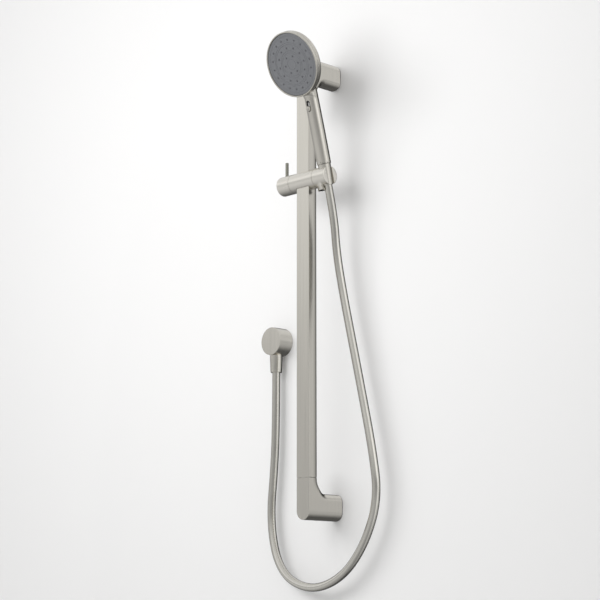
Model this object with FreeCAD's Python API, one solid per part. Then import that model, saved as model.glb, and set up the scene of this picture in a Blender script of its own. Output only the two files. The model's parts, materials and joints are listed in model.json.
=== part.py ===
# Rail shower set for a wall: flat rail on two brackets, sliding handset holder, handset,
# metal hose and wall outlet elbow.  Millimetres.
# Frame: the wall is the plane Y = 0 and the set stands out towards -Y, +Z is up,
# the origin is the wall fixing of the lower bracket.
import FreeCAD
import Part
import math
import os

V = FreeCAD.Vector
os.makedirs("parts", exist_ok=True)

# ---------------------------------------------------------------- driving dimensions
RAIL_WIDTH = 30.0
RAIL_DEPTH = 20.0
RAIL_WALL = 1.5
RAIL_Y = -70.0                    # rail centre line, out from the wall
TOP_ARM_Z = 765.0                 # upper bracket arm above the lower one
ARM_HEIGHT = 45.0                 # bracket arm section: a slot shape RAIL_WIDTH wide
ARM_FILLET = 20.0                 # hollow between arm and rail
NECK_Z = 52.5                     # rail starts this far from the arm's centre
EDGE = 0.7                        # rounding of the rail's and brackets' corners
GASKET = 1.0
BOSS_R = 11.0
BOSS_LENGTH = 20.0
WALL_SCREW_R = 2.75

SLIDER_Z = 564.0
SLIDER_R = 17.0
KNOB_END_X = -60.0
KNOB_SEAM_X = -30.6
HOLDER_SEAM_X = 28.0
HOLDER_END_X = 58.0
SEAM = 0.35                       # gap between pieces that turn on each other
LINER = 1.0
LEVER_R = 2.9
LEVER_X = -50.0
LEVER_TIP = 42.0

TAIL_X = 48.5                     # axis of the handset's tail and cone nut
LEAN = 15.0                       # handset leans out from the wall, degrees
NUT_TOP = 21.6                    # along the tail axis, from the slider's axis
NUT_BOTTOM = -16.0
NUT_TOP_R = 10.2
NUT_BOTTOM_R = 8.9
SLOT_WIDTH = 15.0
CONE_GAP = 0.35

HANDLE_R = 12.4
HANDLE_NECK_R = 12.0
HANDLE_BORE_R = 10.4
FACE_UP = 196.0                   # spray face centre, along the handle
FACE_OUT = 33.6                   # and in front of its axis
FACE_TILT = 10.8                  # face tips down from square to the handle, degrees
HEAD_R = 57.0
FACE_R = 54.0
HEAD_RIM = 12.5
NOZZLE_RINGS = ((15.0, 6), (29.0, 12), (43.0, 18))

SELECTOR_AT = 117.9               # thumb tab, along the handle
SELECTOR_TRAVEL = 9.0

HOSE_D = 14.0
ELBOW_X = -133.5
ELBOW_Z = 302.0
ELBOW_R = 25.0
ELBOW_DEPTH = 30.5
OUTLET_Y = -17.0
OUTLET_NUT = (277.4, 246.5)       # top and bottom of the nut under the elbow
THREAD_R = 10.0
INLET_R = 10.48                    # G1/2 thread into the wall
INLET_LENGTH = 15.0

RAIL_FRONT = RAIL_Y - RAIL_DEPTH / 2
RAIL_BACK = RAIL_Y + RAIL_DEPTH / 2
HALF_W = RAIL_WIDTH / 2
NODES = []


# ---------------------------------------------------------------- shape helpers
def box(x, y, z):
    return Part.makeBox(x[1] - x[0], y[1] - y[0], z[1] - z[0], V(x[0], y[0], z[0]))


def rod(radius, start, end):
    start, end = V(*start), V(*end)
    return Part.makeCylinder(radius, (end - start).Length, start, end - start)


def ring(outer, inner, start, end):
    return rod(outer, start, end).cut(rod(inner, start, end))


def cone(radius_start, radius_end, start, end):
    start, end = V(*start), V(*end)
    return Part.makeCone(radius_start, radius_end, (end - start).Length, start, end - start)


def turned(points):
    """A solid turned about Z from (radius, height) points."""
    wire = Part.makePolygon([V(r, 0, z) for r, z in points + points[:1]])
    return Part.Face(wire).revolve(V(0, 0, 0), V(0, 0, 1), 360)


def turned_along_x(points):
    """The same about X: (radius, x) points."""
    return turned(points).rotate(V(0, 0, 0), V(0, 1, 0), 90)


def slot_wire(width, bottom, top, y):
    """Slot-shaped outline in the plane Y = y, with half-round ends."""
    r = width / 2
    low, high = bottom + r, top - r
    return Part.Wire([
        Part.LineSegment(V(r, y, low), V(r, y, high)).toShape(),
        Part.Arc(V(r, y, high), V(0, y, high + r), V(-r, y, high)).toShape(),
        Part.LineSegment(V(-r, y, high), V(-r, y, low)).toShape(),
        Part.Arc(V(-r, y, low), V(0, y, low - r), V(r, y, low)).toShape(),
    ])


def slot_prism(width, height, y):
    face = Part.Face(slot_wire(width, -height / 2, height / 2, y[0]))
    return face.extrude(V(0, y[1] - y[0], 0))


def moved(shape, x, y, z):
    copy = shape.copy()
    copy.translate(V(x, y, z))
    return copy


def flipped_to_top(shape):
    """Lower bracket piece mirrored to the upper end of the rail."""
    return moved(shape.mirror(V(0, 0, 0), V(0, 0, 1)), 0, 0, TOP_ARM_Z)


def on_slider(shape):
    return moved(shape, 0, RAIL_Y, SLIDER_Z)


def on_tail(shape):
    """From the handset's own frame (Z up the handle, -Y forward) to its place in the holder."""
    copy = shape.copy()
    copy.rotate(V(0, 0, 0), V(1, 0, 0), LEAN)
    return moved(copy, TAIL_X, RAIL_Y, SLIDER_Z)


def in_head(shape):
    """From the head's frame (spray face in Y = 0, back of the head towards +Y) to the handset's."""
    copy = shape.copy()
    copy.rotate(V(0, 0, 0), V(1, 0, 0), FACE_TILT)
    return moved(copy, 0, -FACE_OUT, FACE_UP)


def head_turned(points):
    """Turned about the head's axis from (radius, depth behind the face) points."""
    return turned(points).rotate(V(0, 0, 0), V(1, 0, 0), -90)


def save(node, shape):
    solid = shape.removeSplitter()
    if solid.ShapeType != "Solid":
        solid = solid.Solids[0] if len(solid.Solids) == 1 else solid
    count = len(solid.Solids)
    solid.exportStep("parts/" + node + ".step")
    NODES.append(node)
    flag = "" if count == 1 and solid.isValid() else "   <-- %d solids, valid %s" % (count, solid.isValid())
    print("%-26s %10.0f mm3%s" % (node, solid.Volume, flag))


# ---------------------------------------------------------------- rail and its brackets
def rail_tube():
    z = (NECK_Z, TOP_ARM_Z - NECK_Z)
    x, y = (-HALF_W, HALF_W), (RAIL_FRONT, RAIL_BACK)
    outer = box(x, y, z)
    long_edges = [e for e in outer.Edges if abs(e.Length - (z[1] - z[0])) < 1e-6]
    outer = outer.makeFillet(EDGE, long_edges)
    inner = box((x[0] + RAIL_WALL, x[1] - RAIL_WALL), (y[0] + RAIL_WALL, y[1] - RAIL_WALL), z)
    return outer.cut(inner)


def bracket():
    """L-shaped end bracket: slot-section arm, hollow fillet, neck that carries the rail."""
    front = slot_prism(RAIL_WIDTH, ARM_HEIGHT, (RAIL_FRONT, RAIL_BACK))
    arm = slot_prism(RAIL_WIDTH, ARM_HEIGHT, (RAIL_BACK + ARM_FILLET, -GASKET))
    sections = []
    for step in range(7):
        turn = math.radians(15 * step)
        out = ARM_FILLET * (1 - math.cos(turn))
        rise = ARM_FILLET * (1 - math.sin(turn))
        sections.append(slot_wire(RAIL_WIDTH, -ARM_HEIGHT / 2, ARM_HEIGHT / 2 + rise, RAIL_BACK + out))
    web = Part.makeLoft(sections, True, False)
    neck = box((-HALF_W, HALF_W), (RAIL_FRONT, RAIL_BACK), (0, NECK_Z))
    body = front.fuse(web.fuse(arm)).fuse(neck).removeSplitter()
    outline = [e for e in body.Edges if e.BoundBox.YMax < RAIL_FRONT + 0.01 and e.BoundBox.ZMin < NECK_Z - 1]
    body = body.makeFillet(EDGE, outline)
    body = body.cut(rod(BOSS_R + 0.1, (0, 5, 0), (0, -BOSS_LENGTH - 1, 0)))
    body = body.cut(rod(BOSS_R - 1, (0, 0, 0), (0, RAIL_Y + 5, 0)))
    body = body.cut(rod(2.5, (0, -11, -BOSS_R + 2), (0, -11, -30)))
    return body.cut(box((-10, 10), (RAIL_Y - 5.5, RAIL_Y + 5.5), (NECK_Z - 22, NECK_Z)))


def wall_boss():
    boss = rod(BOSS_R, (0, 0, 0), (0, -BOSS_LENGTH, 0))
    boss = boss.cut(rod(WALL_SCREW_R, (0, 1, 0), (0, -BOSS_LENGTH - 1, 0)))
    boss = boss.cut(cone(WALL_SCREW_R, 5.6, (0, -BOSS_LENGTH + 3, 0), (0, -BOSS_LENGTH - 0.01, 0)))
    groove = ring(BOSS_R + 1, BOSS_R - 1.2, (0, -8.4, 0), (0, -13.6, 0))
    return boss.cut(groove)


def grub_screw():
    screw = rod(2.5, (0, -11, -BOSS_R + 1.2), (0, -11, -20.5))
    return screw.cut(rod(1.3, (0, -11, -17.5), (0, -11, -21)))


def rail_insert():
    neck_part = box((-9.9, 9.9), (RAIL_Y - 5.4, RAIL_Y + 5.4), (NECK_Z - 21.5, NECK_Z))
    rail_part = box((-13.4, 13.4), (RAIL_Y - 8.4, RAIL_Y + 8.4), (NECK_Z, NECK_Z + 24))
    lead = [e for e in rail_part.Edges if e.BoundBox.ZMin > NECK_Z + 23.9]
    return neck_part.fuse(rail_part.makeChamfer(1.2, lead))


def gasket():
    pad = slot_prism(RAIL_WIDTH - 1.0, ARM_HEIGHT - 1.0, (-GASKET, 0))
    return pad.cut(rod(BOSS_R + 0.3, (0, 1, 0), (0, -2, 0)))


save("rail_tube", rail_tube())
for end, place in (("lower", lambda s: s), ("upper", flipped_to_top)):
    save(end + "_bracket", place(bracket()))
    save(end + "_wall_boss", place(wall_boss()))
    save(end + "_grub_screw", place(grub_screw()))
    save(end + "_rail_insert", place(rail_insert()))
    save(end + "_wall_gasket", place(gasket()))


# ---------------------------------------------------------------- slider
PIVOT_R = 8.0
RAIL_HOLE = (HALF_W + 0.15 + LINER, RAIL_DEPTH / 2 + 0.15 + LINER)
PAD_BACK_X = -22.0


def slider_body():
    body = rod(SLIDER_R, (KNOB_SEAM_X + SEAM, 0, 0), (HOLDER_SEAM_X, 0, 0))
    body = body.fuse(rod(PIVOT_R, (HOLDER_SEAM_X - 1, 0, 0), (HOLDER_SEAM_X + 5, 0, 0)))
    body = body.cut(box((-RAIL_HOLE[0], RAIL_HOLE[0]), (-RAIL_HOLE[1], RAIL_HOLE[1]), (-20, 20)))
    body = body.cut(rod(2.5, (17.5, 0, 0), (40, 0, 0)))
    body = body.cut(ring(14.5, 9.5, (HOLDER_SEAM_X - 0.8, 0, 0), (HOLDER_SEAM_X + 1, 0, 0)))
    body = body.cut(box((-24, -15), (-5.3, 5.3), (-5.3, 5.3)))
    return body.cut(rod(9.3, (-24, 0, 0), (-40, 0, 0)))


def slider_liner():
    half = 12.5
    gap_x, gap_y = RAIL_HOLE[0] - LINER, RAIL_HOLE[1] - LINER
    sleeve = box((-RAIL_HOLE[0], RAIL_HOLE[0]), (-RAIL_HOLE[1], RAIL_HOLE[1]), (-half, half))
    sleeve = sleeve.cut(box((-gap_x, gap_x), (-gap_y, gap_y), (-half, half)))
    return sleeve.cut(box((-20, -10), (-5.3, 5.3), (-5.3, 5.3)))


def clamp_pad():
    pad = box((PAD_BACK_X, -HALF_W - 0.02), (-5, 5), (-5, 5))
    return pad.cut(rod(4.15, (PAD_BACK_X, 0, 0), (-17.5, 0, 0)))


def friction_ring():
    return ring(14.3, 9.7, (HOLDER_SEAM_X - 0.8, 0, 0), (HOLDER_SEAM_X + SEAM - 0.03, 0, 0))


def pivot_screw():
    screw = rod(2.45, (18, 0, 0), (34.2, 0, 0)).fuse(rod(4.4, (34, 0, 0), (36.6, 0, 0)))
    return screw.cut(rod(1.5, (35, 0, 0), (37, 0, 0)))


def lock_knob():
    edge = 1.4
    left, right = KNOB_END_X, KNOB_SEAM_X
    knob = turned_along_x([(0, left), (SLIDER_R - edge, left), (SLIDER_R - 0.4, left + 0.4),
                           (SLIDER_R, left + edge), (SLIDER_R, right), (0, right)])
    knob = knob.fuse(rod(9.0, (right - 1, 0, 0), (-24.2, 0, 0)))
    knob = knob.cut(rod(4.0, (-24, 0, 0), (-38, 0, 0)))
    knob = knob.cut(rod(6.5, (-38, 0, 0), (-43, 0, 0)))
    return knob.cut(rod(LEVER_R, (LEVER_X, 0, 5), (LEVER_X, 0, 20)))


def clamp_screw():
    screw = rod(3.8, (-18, 0, 0), (-38, 0, 0)).fuse(rod(6.2, (-38, 0, 0), (-42.8, 0, 0)))
    return screw.cut(rod(2.0, (-40, 0, 0), (-43, 0, 0)))


def lever_pin():
    pin = turned([(0, 5.2), (LEVER_R - 0.02, 5.2), (LEVER_R - 0.02, LEVER_TIP - 0.7),
                  (LEVER_R - 0.6, LEVER_TIP), (0, LEVER_TIP)])
    return moved(pin, LEVER_X, 0, 0)


save("slider_body", on_slider(slider_body()))
save("slider_liner", on_slider(slider_liner()))
save("clamp_pad", on_slider(clamp_pad()))
save("friction_ring", on_slider(friction_ring()))
save("pivot_screw", on_slider(pivot_screw()))
save("lock_knob", on_slider(lock_knob()))
save("clamp_screw", on_slider(clamp_screw()))
save("lever_pin", on_slider(lever_pin()))


# ---------------------------------------------------------------- tilting holder
def tail_frame(shape):
    """Lean a shape made about the tail axis, still centred on the slider's axis."""
    copy = shape.copy()
    copy.rotate(V(0, 0, 0), V(1, 0, 0), LEAN)
    return moved(copy, TAIL_X, 0, 0)


def nut_radius(t):
    share = (t - NUT_BOTTOM) / (NUT_TOP - NUT_BOTTOM)
    return NUT_BOTTOM_R + share * (NUT_TOP_R - NUT_BOTTOM_R)


def handset_holder():
    left, right = HOLDER_SEAM_X + SEAM, HOLDER_END_X
    edge = 1.0
    body = turned_along_x([(0, left), (SLIDER_R, left), (SLIDER_R, right - edge),
                           (SLIDER_R - edge, right), (0, right)])
    collar = tail_frame(rod(SLIDER_R, (0, 0, -22.5), (0, 0, 0)))
    collar = collar.common(box((left + 2, TAIL_X - 3), (-40, 40), (-40, 40)))
    body = body.fuse(collar)
    low, high = -30.0, 30.0
    bore = cone(nut_radius(low) + CONE_GAP, nut_radius(high) + CONE_GAP, (0, 0, low), (0, 0, high))
    mouth = box((0, 40), (-SLOT_WIDTH / 2, SLOT_WIDTH / 2), (low, high))
    body = body.cut(tail_frame(bore.fuse(mouth)))
    body = body.cut(rod(PIVOT_R + 0.35, (left - 1, 0, 0), (HOLDER_SEAM_X + 5.3, 0, 0)))
    body = body.cut(rod(2.8, (30, 0, 0), (40, 0, 0)))
    return body.cut(rod(4.8, (33.9, 0, 0), (TAIL_X, 0, 0)))


save("handset_holder", on_slider(handset_holder()))


# ---------------------------------------------------------------- hose end in the holder
def hose_nut_upper():
    """Cone nut: thread head inside the handset's skirt, cone below it."""
    nut = turned([(7.3, NUT_BOTTOM), (NUT_BOTTOM_R - 0.5, NUT_BOTTOM), (NUT_BOTTOM_R, NUT_BOTTOM + 0.5),
                  (NUT_TOP_R, NUT_TOP), (11.2, NUT_TOP + 0.6), (11.2, NUT_TOP + 13), (10.7, NUT_TOP + 13.5),
                  (THREAD_R + 0.05, NUT_TOP + 13.5), (THREAD_R + 0.05, NUT_TOP + 1.0), (7.3, NUT_TOP + 1.0)])
    return nut


def hose_ferrule(top):
    """Crimped sleeve and flange on the hose's end, hanging below height top."""
    return turned([(4.5, top - 24), (7.0, top - 24), (7.0, top - 2.2), (9.6, top - 2.2), (9.6, top), (4.5, top)])


def washer(z):
    return ring(9.4, 5.2, (0, 0, z), (0, 0, z + 2.0))


save("hose_nut_upper", on_tail(hose_nut_upper()))
save("hose_ferrule_upper", on_tail(hose_ferrule(NUT_TOP + 3.3)))
save("hose_washer_upper", on_tail(washer(NUT_TOP + 3.3)))


# ---------------------------------------------------------------- handset
def handle_top():
    """Upper end of the handle, flattening forward into the back of the head."""
    neck = Part.Circle(V(0, 0, 148), V(0, 0, 1), HANDLE_NECK_R).toShape()
    sections = [Part.Wire([neck])]
    for up, wide, deep, forward in ((166, 12.2, 10.6, 1.4), (184, 12.0, 7.4, 6.0),
                                    (198, 10.4, 4.0, 12.4), (206, 8.4, 2.4, 17.0)):
        oval = Part.Ellipse(V(0, 0, 0), wide, deep).toShape()
        sections.append(Part.Wire([moved(oval, 0, -forward, up)]))
    return Part.makeLoft(sections, True, False)


def handset_shell():
    """One moulding: handle tube, and the domed back of the head that it runs into."""
    start = NUT_TOP + 0.2
    handle = turned([(0, start), (HANDLE_R - 1.0, start), (HANDLE_R - 0.2, start + 1.2), (HANDLE_R, start + 3),
                     (HANDLE_R + 0.15, 70), (HANDLE_R, 100), (HANDLE_NECK_R, 148), (0, 148)])
    back = [(0, 4.6), (HEAD_R, 4.6), (HEAD_R, HEAD_RIM - 2.0), (HEAD_R - 1.0, HEAD_RIM - 0.3),
            (HEAD_R - 3.2, HEAD_RIM + 0.8), (48, 15.2), (38, 18.4), (26, 21.0), (13, 22.4), (0, 22.8)]
    shell = handle.fuse([handle_top(), in_head(head_turned(back))])
    skirt_end = NUT_TOP + 15.0
    shell = shell.cut(rod(11.5, (0, 0, start - 1), (0, 0, skirt_end)))
    shell = shell.cut(rod(HANDLE_BORE_R, (0, 0, skirt_end - 1), (0, 0, 149)))
    pocket = [(0, 4), (FACE_R + 0.5, 4), (FACE_R + 0.5, 11.2), (46, 13.0), (30, 17.0), (0, 19.0)]
    shell = shell.cut(in_head(head_turned(pocket)))
    shell = shell.cut(box((-3.5, 3.5), (-10.2, -5.8), (145, 187)))
    slot = slot_wire(8.0, SELECTOR_AT - 5.2, SELECTOR_AT + SELECTOR_TRAVEL + 5.2, -20)
    return shell.cut(Part.Face(slot).extrude(V(0, 15, 0)))


def head_trim_ring():
    return in_head(head_turned([(FACE_R + 0.3, 0.2), (FACE_R + 1.0, -0.5), (HEAD_R - 1.2, -0.5), (HEAD_R - 0.3, -0.1),
                                (HEAD_R, 0.8), (HEAD_R, 4.4), (FACE_R + 0.3, 4.4)]))


def ring_places(radius, count):
    return [(radius * math.cos(2 * math.pi * i / count), radius * math.sin(2 * math.pi * i / count))
            for i in range(count)]


def spray_face():
    plate = head_turned([(0, 0.9), (FACE_R - 1.2, 0.9), (FACE_R, 1.6), (FACE_R, 3.3), (0, 3.3)])
    holes = [rod(1.35, (x, 0, z), (x, 5, z)) for r, n in NOZZLE_RINGS for x, z in ring_places(r, n)]
    return in_head(plate.cut(holes))


def nozzle_mat():
    mat = head_turned([(0, 3.4), (51, 3.4), (51, 4.6), (0, 4.6)])
    tips = [cone(1.25, 0.8, (x, 3.5, z), (x, 0.3, z)) for r, n in NOZZLE_RINGS for x, z in ring_places(r, n)]
    bores = [rod(0.45, (x, 0, z), (x, 5, z)) for r, n in NOZZLE_RINGS for x, z in ring_places(r, n)]
    return in_head(mat.fuse(tips).cut(bores))


def water_chamber():
    """Sealed cup behind the nozzles, with the diverter's seat in the middle."""
    cup = head_turned([(0, 9.4), (22, 9.4), (22, 4.8), (50, 4.8), (53.8, 4.8), (53.8, 10.8), (0, 10.8)])
    cup = cup.cut(head_turned([(25, 4), (48, 4), (48, 8.6), (25, 8.6)]))
    cup = cup.cut(rod(3.3, (0, 3, 0), (0, 14, 0)))
    ports = [rod(2.0, (x, 3, z), (x, 14, z)) for x, z in ring_places(13, 3)]
    return in_head(cup.cut(ports))


def diverter_disc():
    disc = head_turned([(0, 5.2), (20.5, 5.2), (20.5, 8.6), (0, 8.6)])
    disc = disc.fuse(rod(2.9, (0, 8, 0), (0, 14.2, 0)))
    disc = disc.fuse(box((-2.5, 13), (12, 14.2), (-2.5, 2.5)))
    ports = [rod(2.0, (x, 3, z), (x, 10, z)) for x, z in ring_places(13, 3)]
    return in_head(disc.cut(ports))


def water_tube():
    """Inner conduit of the handle, from the tail thread to the head."""
    wide = ring(5.6, 4.2, (0, 3.0, 44), (0, 3.0, 146))
    foot = ring(HANDLE_BORE_R - 0.05, 4.2, (0, 0, 40), (0, 0, 44))
    return wide.fuse(foot.cut(rod(4.2, (0, 3.0, 39), (0, 3.0, 45))))


def tail_thread():
    return turned([(5.0, NUT_TOP + 5.5), (THREAD_R, NUT_TOP + 5.5), (THREAD_R, NUT_TOP + 15),
                   (HANDLE_BORE_R - 0.05, NUT_TOP + 15), (HANDLE_BORE_R - 0.05, 40), (5.0, 40)])


def flow_restrictor():
    return ring(4.9, 1.8, (0, 0, NUT_TOP + 7), (0, 0, NUT_TOP + 11))


def selector_plate():
    low, high = SELECTOR_AT - 7.5, SELECTOR_AT + SELECTOR_TRAVEL + 7.5
    plate = ring(HANDLE_BORE_R - 0.03, 9.4, (0, 0, low), (0, 0, high))
    plate = plate.common(box((-4.8, 4.8), (-12, -5), (low, high)))
    return plate.cut(box((-1.6, 1.6), (-11, -8), (SELECTOR_AT - 2.3, SELECTOR_AT + SELECTOR_TRAVEL + 2.3)))


def selector_tab():
    """Wedge for the thumb, on a stem through the slot plate."""
    low, high = SELECTOR_AT - 4.7, SELECTOR_AT + 4.7
    side = [V(-3.7, -10.7, low), V(-3.7, -12.6, low), V(-3.7, -15.0, SELECTOR_AT + 0.4),
            V(-3.7, -15.0, high - 2.4), V(-3.7, -13.0, high), V(-3.7, -10.7, high)]
    tab = Part.Face(Part.makePolygon(side + side[:1])).extrude(V(7.4, 0, 0))
    tab = tab.common(Part.Face(slot_wire(7.4, low, high, -20)).extrude(V(0, 15, 0)))
    return tab.fuse(box((-1.3, 1.3), (-10.9, -8.9), (SELECTOR_AT - 2, SELECTOR_AT + 2)))


def selector_link():
    return box((-2.4, 2.4), (-8.9, -7.6), (SELECTOR_AT - 4, 176))


for node, shape in (("handset_shell", handset_shell()), ("head_trim_ring", head_trim_ring()),
                    ("spray_face", spray_face()), ("nozzle_mat", nozzle_mat()),
                    ("water_chamber", water_chamber()), ("diverter_disc", diverter_disc()),
                    ("water_tube", water_tube()), ("tail_thread", tail_thread()),
                    ("flow_restrictor", flow_restrictor()), ("selector_plate", selector_plate()),
                    ("selector_tab", selector_tab()), ("selector_link", selector_link())):
    save(node, on_tail(shape))


# ---------------------------------------------------------------- wall outlet elbow
def at_outlet(shape):
    return moved(shape, ELBOW_X, OUTLET_Y, 0)


def elbow_cover():
    """Round drum cover over the fitting, closed at the front."""
    drum = rod(ELBOW_R, (0, 0, 0), (0, -ELBOW_DEPTH, 0))
    front_edge = [e for e in drum.Edges if e.BoundBox.YMax < -ELBOW_DEPTH + 0.01]
    drum = drum.makeFillet(0.8, front_edge)
    drum = drum.cut(rod(ELBOW_R - 1.6, (0, 1, 0), (0, -ELBOW_DEPTH + 1.6, 0)))
    drum = drum.cut(rod(THREAD_R + 1.7, (0, OUTLET_Y, -10), (0, OUTLET_Y, -30)))
    return moved(drum, ELBOW_X, 0, ELBOW_Z)


def elbow_fitting():
    """Brass elbow: male thread into the wall, cross bore, outlet thread pointing down."""
    block = rod(15, (0, -0.5, 0), (0, -28, 0)).fuse(rod(INLET_R, (0, -1, 0), (0, INLET_LENGTH, 0)))
    block = block.fuse(rod(THREAD_R, (0, OUTLET_Y, 0), (0, OUTLET_Y, -35.8)))
    block = block.cut(rod(6.0, (0, 16, 0), (0, OUTLET_Y, 0)))
    block = block.cut(rod(7.6, (0, OUTLET_Y, 3), (0, OUTLET_Y, -39)))
    return moved(block, ELBOW_X, 0, ELBOW_Z)


def check_valve_housing():
    """Cartridge in the outlet bore: seat at the top, spring shelf with a stem guide at the bottom."""
    tube = ring(7.5, 6.0, (0, 0, -6), (0, 0, -35.5))
    seat = ring(6.5, 4.0, (0, 0, -6), (0, 0, -8))
    shelf = ring(6.5, 1.5, (0, 0, -33.5), (0, 0, -35.5))
    shelf = shelf.cut([rod(1.3, (x, y, -33), (x, y, -37)) for x, y in ring_places(3.8, 6)])
    return at_outlet(moved(tube.fuse([seat, shelf]), 0, 0, ELBOW_Z))


def check_valve_poppet():
    poppet = turned([(0, -8.1), (5.2, -8.1), (5.2, -12.0), (1.15, -12.5), (1.15, -31.5), (0, -31.5)])
    return at_outlet(moved(poppet, 0, 0, ELBOW_Z))


def check_valve_spring():
    """Coil between the poppet's head and the shelf."""
    top, bottom, radius, wire = -12.9, -33.0, 3.4, 0.35
    helix = Part.makeHelix(4.1, top - bottom, radius)
    section = Part.Wire([Part.Circle(V(radius, 0, 0), V(0, 1, 0), wire).toShape()])
    coil = Part.Wire(helix).makePipeShell([section], True, True)
    return at_outlet(moved(coil, 0, 0, ELBOW_Z + bottom))


def hose_nut_lower():
    top, bottom = OUTLET_NUT
    seat = top - 14.2
    return at_outlet(turned([(7.3, bottom), (9.1, bottom), (9.5, bottom + 0.4), (9.5, bottom + 3.0),
                             (10.3, bottom + 3.4), (11.0, top - 8), (11.2, top - 0.8), (10.7, top),
                             (THREAD_R + 0.05, top), (THREAD_R + 0.05, seat), (7.3, seat)]))


def lower_ferrule():
    top, bottom = OUTLET_NUT
    seat = top - 14.2
    return at_outlet(turned([(4.5, bottom + 1), (7.0, bottom + 1), (7.0, seat), (9.6, seat),
                             (9.6, seat + 1.0), (4.5, seat + 1.0)]))


save("elbow_cover", elbow_cover())
save("elbow_fitting", elbow_fitting())
save("check_valve_housing", check_valve_housing())
save("check_valve_poppet", check_valve_poppet())
save("check_valve_spring", check_valve_spring())
save("hose_nut_lower", hose_nut_lower())
save("hose_ferrule_lower", lower_ferrule())
save("hose_washer_lower", at_outlet(washer(OUTLET_NUT[0] - 13.2)))


# ---------------------------------------------------------------- hose
# Out of the cone nut along the leaning tail axis, down past the rail, round the bottom loop
# and straight up into the nut under the elbow.
lean = math.radians(LEAN)
hose_start = V(TAIL_X, RAIL_Y - NUT_BOTTOM * math.sin(lean), SLIDER_Z + NUT_BOTTOM * math.cos(lean))
hose_lead = hose_start + V(0, math.sin(lean), -math.cos(lean)) * 55
HOSE_ROUTE = [
    (hose_start.x, hose_start.y, hose_start.z),
    (hose_lead.x, hose_lead.y, hose_lead.z),
    (48, -45, 429),
    (58, -39, 350),
    (75, -37, 265),
    (94, -35, 178),
    (114, -35, 92),
    (125, -33, 9),
    (97, -32, -66),
    (41, -30, -120),
    (-39, -26, -139),
    (-118, -21, -108),
    (-148, -18, -20),
    (-136, -17, 90),
    (ELBOW_X, OUTLET_Y, 186),
    (ELBOW_X, OUTLET_Y, OUTLET_NUT[1]),
]


def hose():
    points = [V(*p) for p in HOSE_ROUTE]
    edges = []
    length = 0.0
    last = points[0]
    for a, b, c in zip(points, points[1:], points[2:]):
        before, after = (a - b).normalize(), (c - b).normalize()
        turn = math.pi - before.getAngle(after)
        cut = 0.45 * min((a - b).Length, (c - b).Length)
        radius = cut / math.tan(turn / 2)
        start, end = b + before * cut, b + after * cut
        towards = (before + after).normalize()
        middle = b + towards * (radius / math.cos(turn / 2) - radius)
        edges.append(Part.LineSegment(last, start).toShape())
        edges.append(Part.Arc(start, middle, end).toShape())
        length += (start - last).Length + radius * turn
        last = end
        print("hose turn %5.1f deg, radius %7.0f mm" % (math.degrees(turn), radius))
    edges.append(Part.LineSegment(last, points[-1]).toShape())
    length += (points[-1] - last).Length
    path = Part.Wire(edges)
    direction = (points[1] - points[0]).normalize()
    section = Part.Wire([Part.Circle(points[0], direction, HOSE_D / 2).toShape()])
    tube = path.makePipeShell([section], True, True)
    print("hose length %.1f, volume over section x length %.5f"
          % (length, tube.Volume / (length * math.pi * HOSE_D ** 2 / 4)))
    return tube


save("hose", hose())
print(len(NODES), "nodes")
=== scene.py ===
"""Rail shower set on a wall: flat rail on two brackets, sliding holder, handset, hose, wall elbow.

Everything is in metres in the frame's own axes: the wall is Y = 0, the set stands out towards -Y,
+Z is up.  Profiles of turned pieces are in millimetres, in a local frame placed by a matrix.
"""
import json
import math

import bmesh
import bpy
import numpy as np
from mathutils import Matrix, Vector


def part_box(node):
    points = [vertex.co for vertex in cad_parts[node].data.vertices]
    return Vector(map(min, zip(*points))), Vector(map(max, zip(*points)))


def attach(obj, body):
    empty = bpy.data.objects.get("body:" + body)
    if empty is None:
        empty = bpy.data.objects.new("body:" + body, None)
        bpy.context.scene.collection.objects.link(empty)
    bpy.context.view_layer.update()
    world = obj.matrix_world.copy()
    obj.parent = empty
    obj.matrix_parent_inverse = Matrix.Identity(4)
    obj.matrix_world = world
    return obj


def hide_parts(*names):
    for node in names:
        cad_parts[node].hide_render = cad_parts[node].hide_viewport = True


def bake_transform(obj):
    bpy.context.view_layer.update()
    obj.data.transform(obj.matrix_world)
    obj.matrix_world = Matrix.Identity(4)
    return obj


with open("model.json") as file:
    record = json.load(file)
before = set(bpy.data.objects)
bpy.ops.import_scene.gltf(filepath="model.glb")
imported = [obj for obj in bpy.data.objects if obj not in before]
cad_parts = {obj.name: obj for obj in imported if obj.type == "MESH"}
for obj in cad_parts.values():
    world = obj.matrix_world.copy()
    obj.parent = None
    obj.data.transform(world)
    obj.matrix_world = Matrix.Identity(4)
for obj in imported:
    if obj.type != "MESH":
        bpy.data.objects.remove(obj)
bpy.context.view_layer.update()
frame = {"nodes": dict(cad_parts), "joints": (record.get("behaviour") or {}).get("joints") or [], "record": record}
nodes = frame["nodes"]
joints = {joint["name"]: joint for joint in frame["joints"]}
MM = 0.001


# ---------------------------------------------------------------- places taken from the frame
def frame_on(point, up, side):
    """Matrix from local millimetres to the row frame: origin on point, Z along up, X along side."""
    z, x = Vector(up).normalized(), Vector(side).normalized()
    turn = Matrix((x, z.cross(x), z)).transposed().to_4x4()
    return Matrix.Translation(point) @ turn @ Matrix.Scale(MM, 4)


def middle(node):
    low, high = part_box(node)
    return (low + high) / 2


ACROSS = Vector((1, 0, 0))
UP = Vector((0, 0, 1))
slider_point = Vector(joints["holder_tilt"]["pos_m"])
tail_axis = Vector(joints["handset_swivel"]["axis"])
tail_point = Vector((joints["handset_swivel"]["pos_m"][0], slider_point.y, slider_point.z))
face_point = Vector(joints["diverter_turn"]["pos_m"])
face_normal = Vector(joints["diverter_turn"]["axis"])
outlet = middle("hose_nut_lower")
elbow = middle("elbow_cover")

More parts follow.
